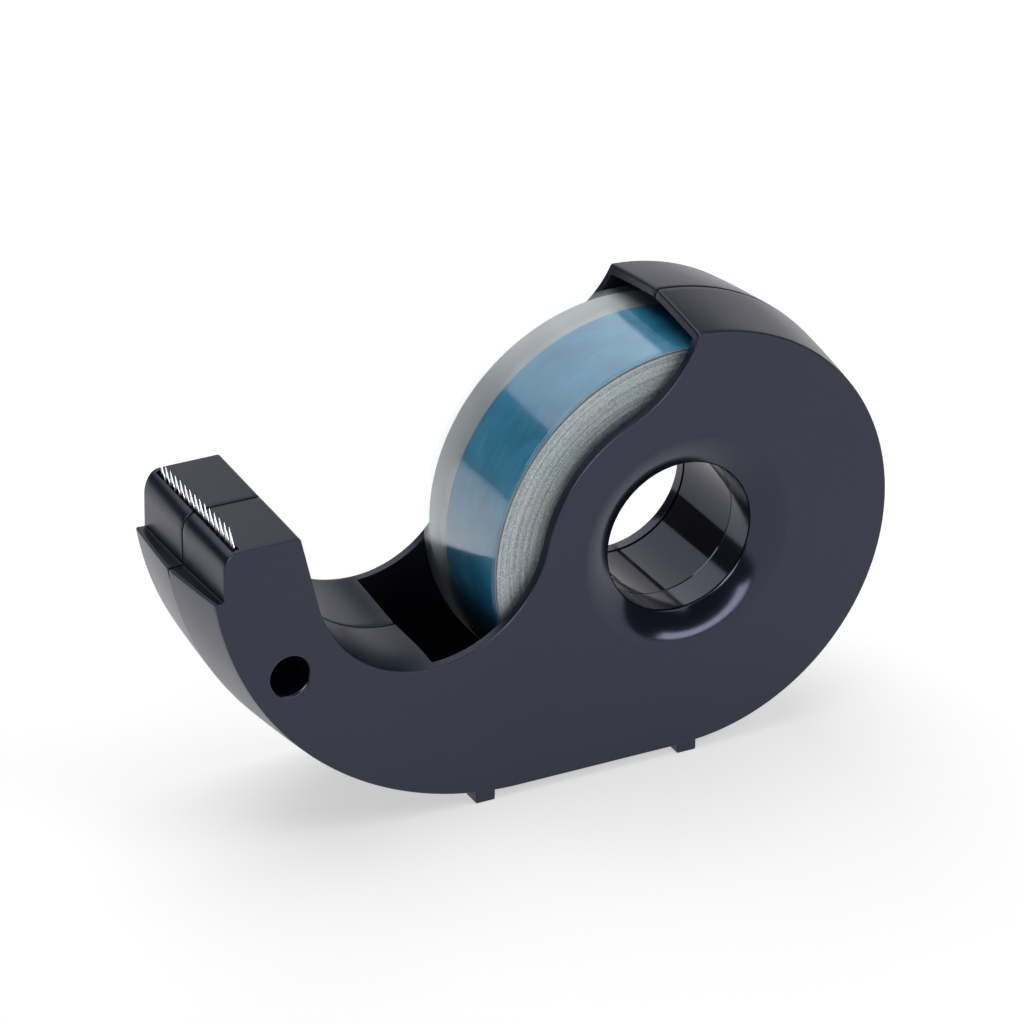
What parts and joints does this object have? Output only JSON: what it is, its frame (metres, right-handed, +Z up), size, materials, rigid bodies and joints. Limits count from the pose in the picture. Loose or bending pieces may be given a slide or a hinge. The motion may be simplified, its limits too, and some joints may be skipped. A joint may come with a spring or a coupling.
{
  "type": "tape dispenser",
  "caption": "Hand-held snail-shaped tape dispenser: two snap-together half shells round a hub sleeve, a serrated steel cutter on the nose and a turning roll of clear tape.",
  "frame": {"origin": "on the resting plane under the feet, at the middle of the overall length and width", "axes": "+X from the cutter nose towards the roll end, +Y from the near half shell to the far one along the hub axis, +Z up"},
  "size_m": [0.0986, 0.0234, 0.0617],
  "materials": {
    "shell_plastic": "satin black with a fine moulded grain",
    "sleeve_plastic": "polished black",
    "cutter_steel": "ground teeth, bright",
    "core_plastic": "moulded off-white",
    "tape_film": "clear film, grey-green in the wound mass",
    "band_print": "blue printed strip under film"
  },
  "bodies": {
    "main_half": {"far_shell": "shell_plastic", "hub_sleeve": "sleeve_plastic", "cutter_blade": "cutter_steel"},
    "near_half": {"near_shell": "shell_plastic"},
    "tape_roll": {"tape_core": "core_plastic", "tape_turns": "tape_film", "printed_band": "band_print", "outer_turns": "tape_film"}
  },
  "joints": [
    {"name": "roll_spin", "type": "hinge", "parent": "main_half", "child": "tape_roll", "pos_m": [0.01848, 0, 0.0309], "axis": [0, 1, 0], "continuous": true},
    {"name": "near_shell_pull", "type": "slide", "parent": "main_half", "child": "near_half", "axis": [0, -1, 0], "range_m": [0, 0.03]}
  ]
}
